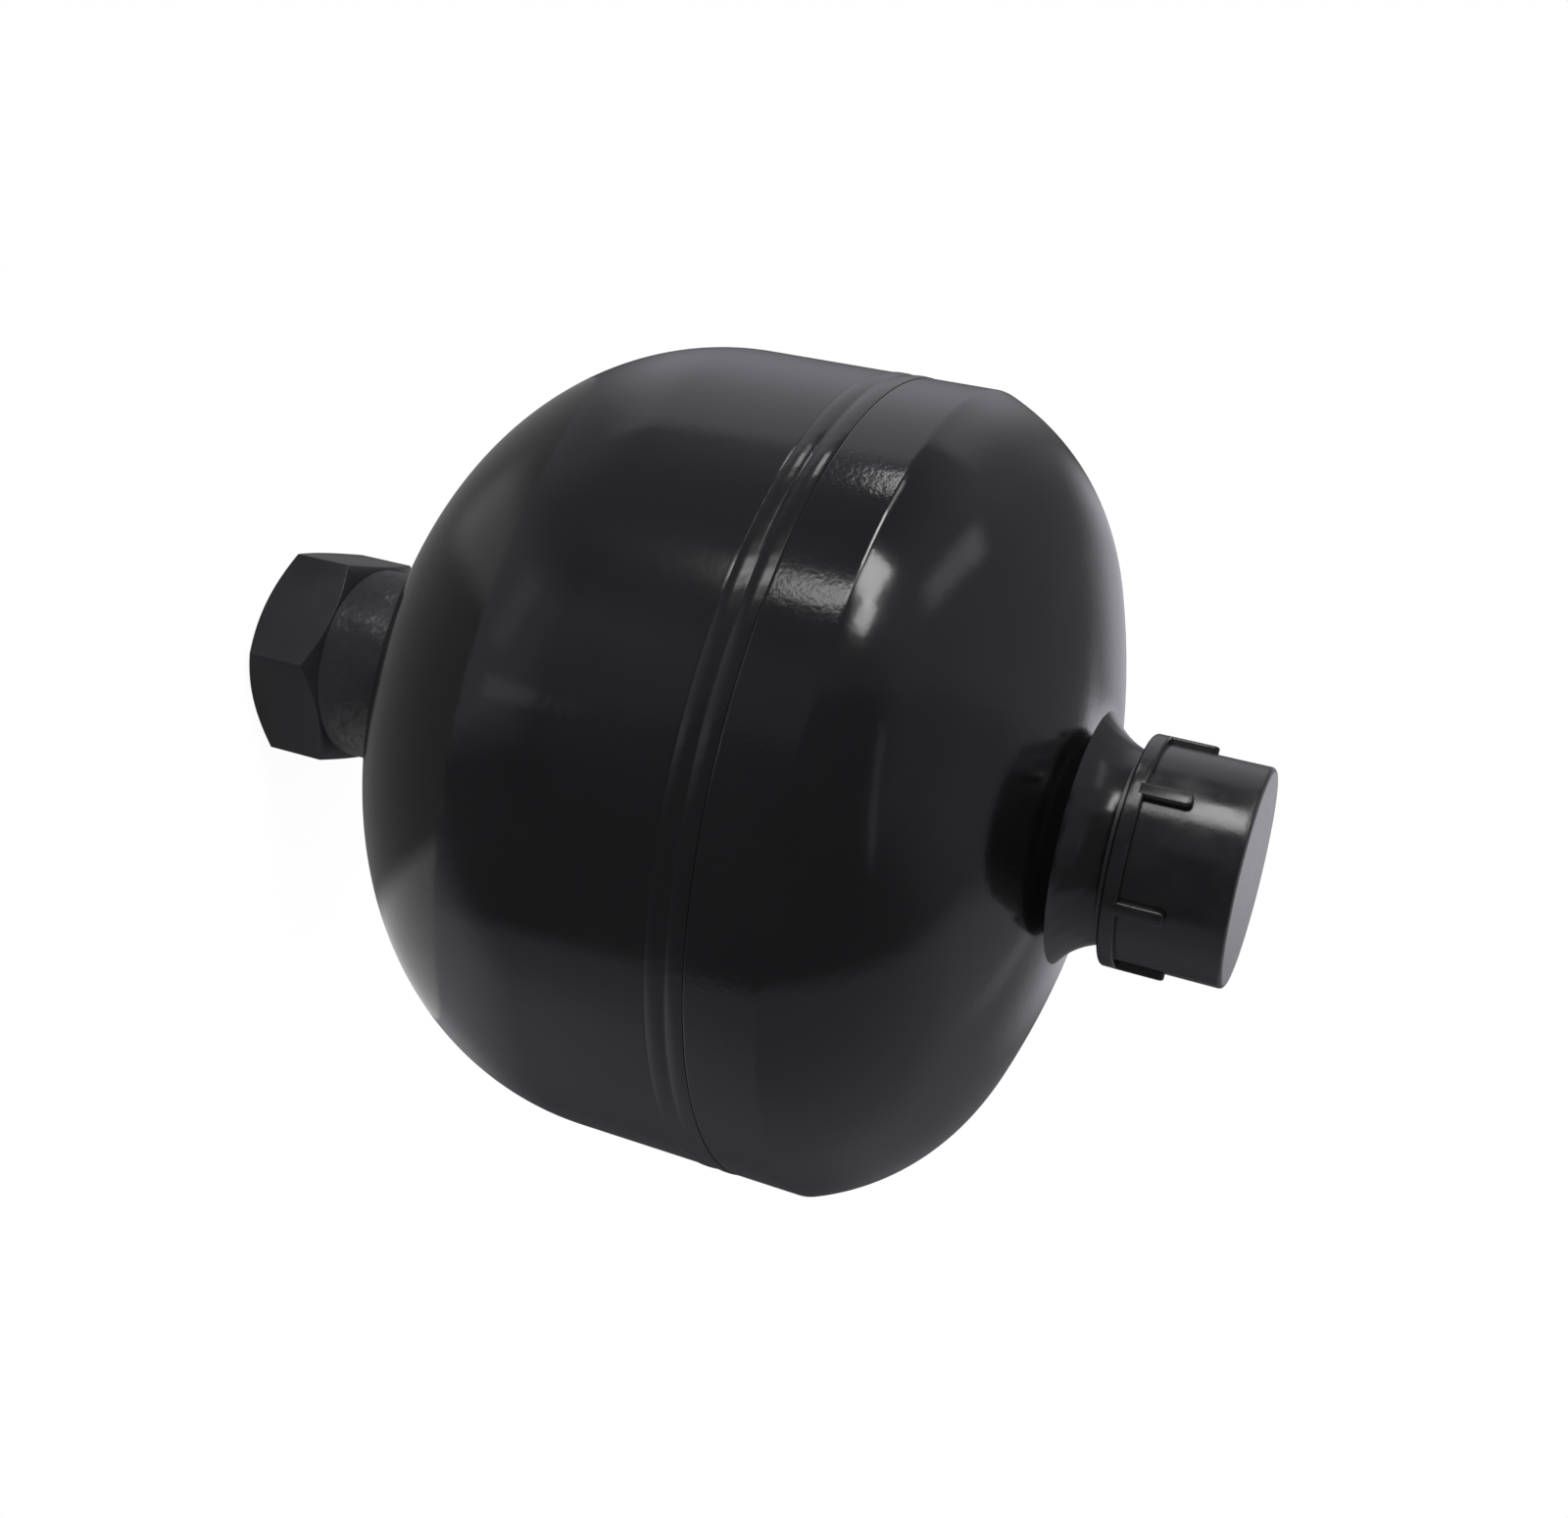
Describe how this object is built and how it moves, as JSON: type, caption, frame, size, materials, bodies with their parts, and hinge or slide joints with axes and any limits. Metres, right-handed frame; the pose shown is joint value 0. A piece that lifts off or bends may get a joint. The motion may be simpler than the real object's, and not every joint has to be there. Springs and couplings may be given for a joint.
{
  "type": "diaphragm accumulator",
  "caption": "Welded steel diaphragm accumulator: two domed shells, hexagonal oil port with female thread, gas charging boss under a ribbed screw cap, diaphragm inside.",
  "frame": {"origin": "middle of the oil port's end face, on the vessel's axis", "axes": "+Z along the vessel's axis from the oil port to the gas side's cap; the hexagon has corners on +Y and -Y and flats facing +X and -X"},
  "size_m": [0.1366, 0.1366, 0.1776],
  "materials": {
    "black_paint": "gloss",
    "bare_steel": "turned",
    "seal_rubber": "matte",
    "black_plastic": "satin",
    "diaphragm_rubber": "matte"
  },
  "bodies": {
    "vessel": {"fluid_port": "black_paint", "fluid_port_weld": "black_paint", "fluid_shell": "black_paint", "girth_weld": "black_paint", "gas_shell": "black_paint", "gas_boss_weld": "black_paint", "gas_boss": "black_paint", "charging_screw": "bare_steel", "charging_screw_seal": "seal_rubber", "protective_cap": "black_plastic", "diaphragm": "diaphragm_rubber", "retaining_ring": "bare_steel"},
    "button": {"closing_button": "bare_steel"}
  },
  "joints": [
    {"name": "button_stroke", "type": "slide", "parent": "vessel", "child": "button", "axis": [0, 0, 1], "range_m": [0, 0.09], "deforming": ["diaphragm"]}
  ]
}
